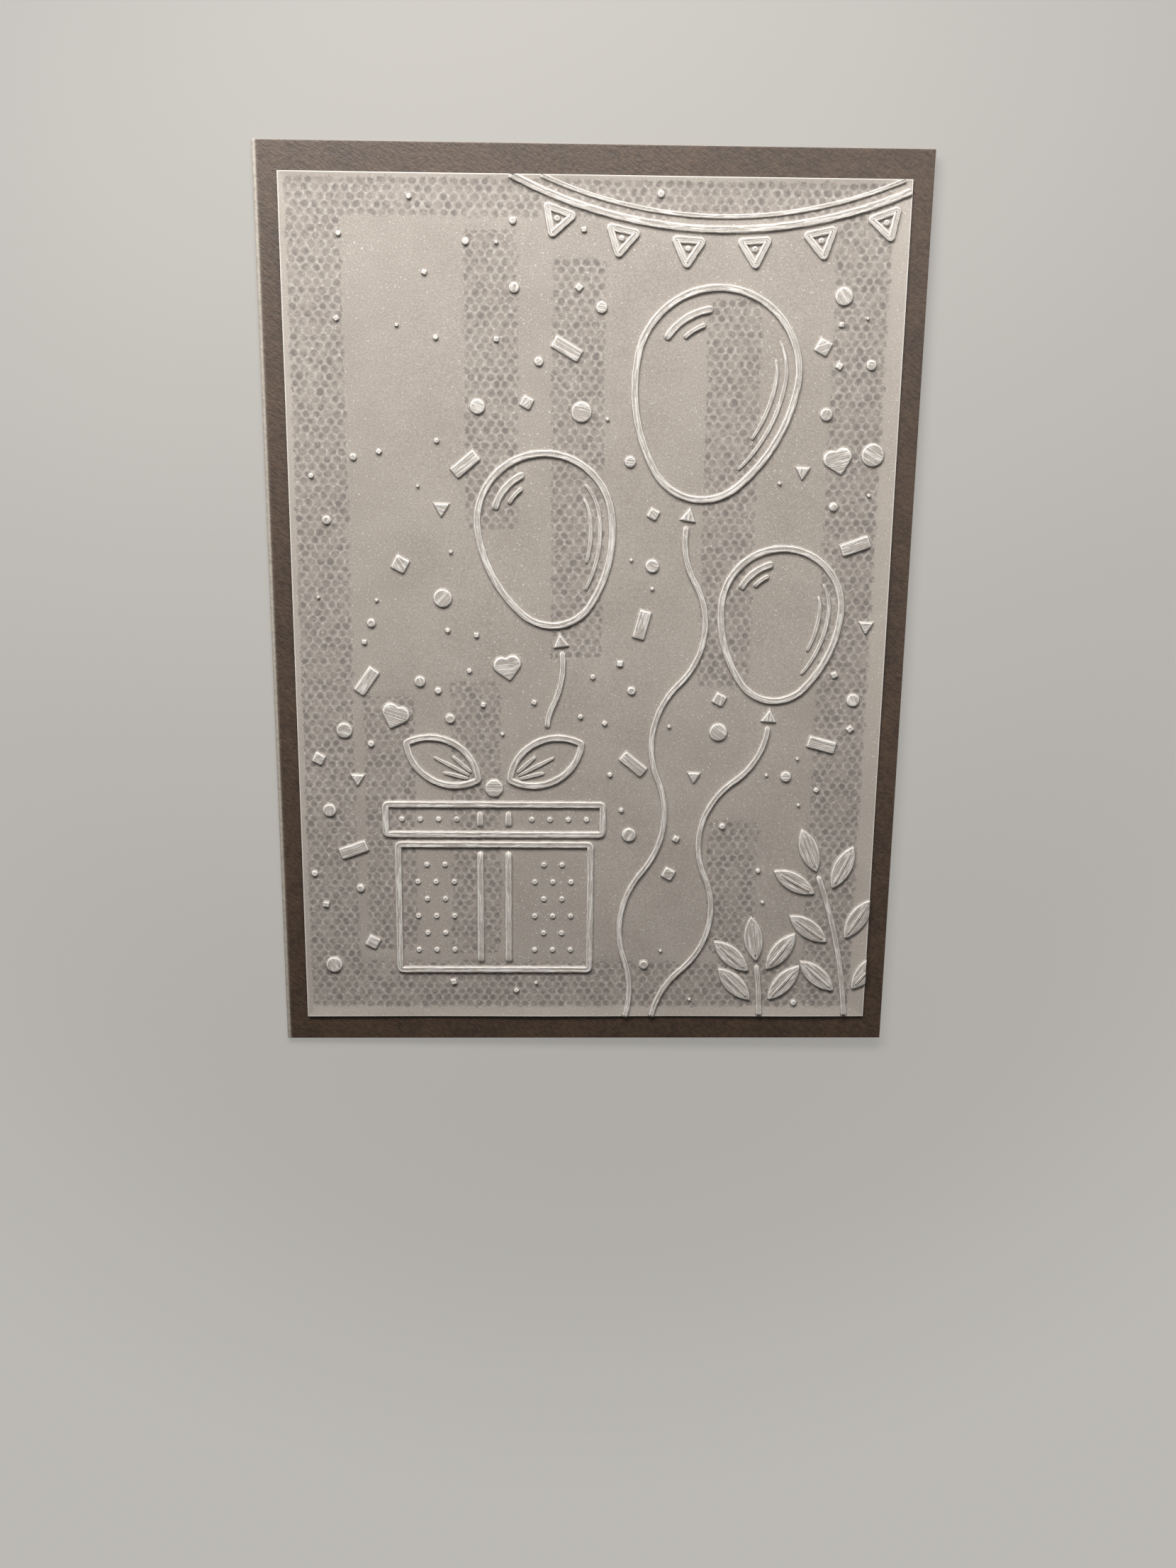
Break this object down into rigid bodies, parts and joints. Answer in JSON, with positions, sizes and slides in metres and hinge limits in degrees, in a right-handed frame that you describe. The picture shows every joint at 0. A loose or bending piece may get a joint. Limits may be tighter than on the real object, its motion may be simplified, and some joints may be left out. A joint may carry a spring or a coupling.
{
  "type": "greeting card",
  "caption": "Side-fold greeting card in dark card stock with an embossed translucent vellum panel glued on its front.",
  "frame": {"origin": "bottom centre of the whole card, on the outer face of the back leaf", "axes": "+X from the fold to the open edge, +Y to the top of the card, +Z out of the front"},
  "size_m": [0.105, 0.148, 0.0024],
  "materials": {
    "card_stock": "matte, finely felted dark taupe card stock",
    "vellum": "translucent frosted vellum, satin, whitened where it is pressed",
    "adhesive": "clear tacky dots of tape-runner glue"
  },
  "bodies": {
    "root": {"card_base": "card_stock", "vellum_panel": "vellum", "adhesive_left": "adhesive", "adhesive_right": "adhesive", "adhesive_top": "adhesive", "adhesive_bottom": "adhesive", "adhesive_upper_left": "adhesive", "adhesive_upper_middle": "adhesive", "adhesive_upper_right": "adhesive", "adhesive_lower_left": "adhesive", "adhesive_lower_middle": "adhesive", "adhesive_lower_right": "adhesive"}
  },
  "joints": []
}
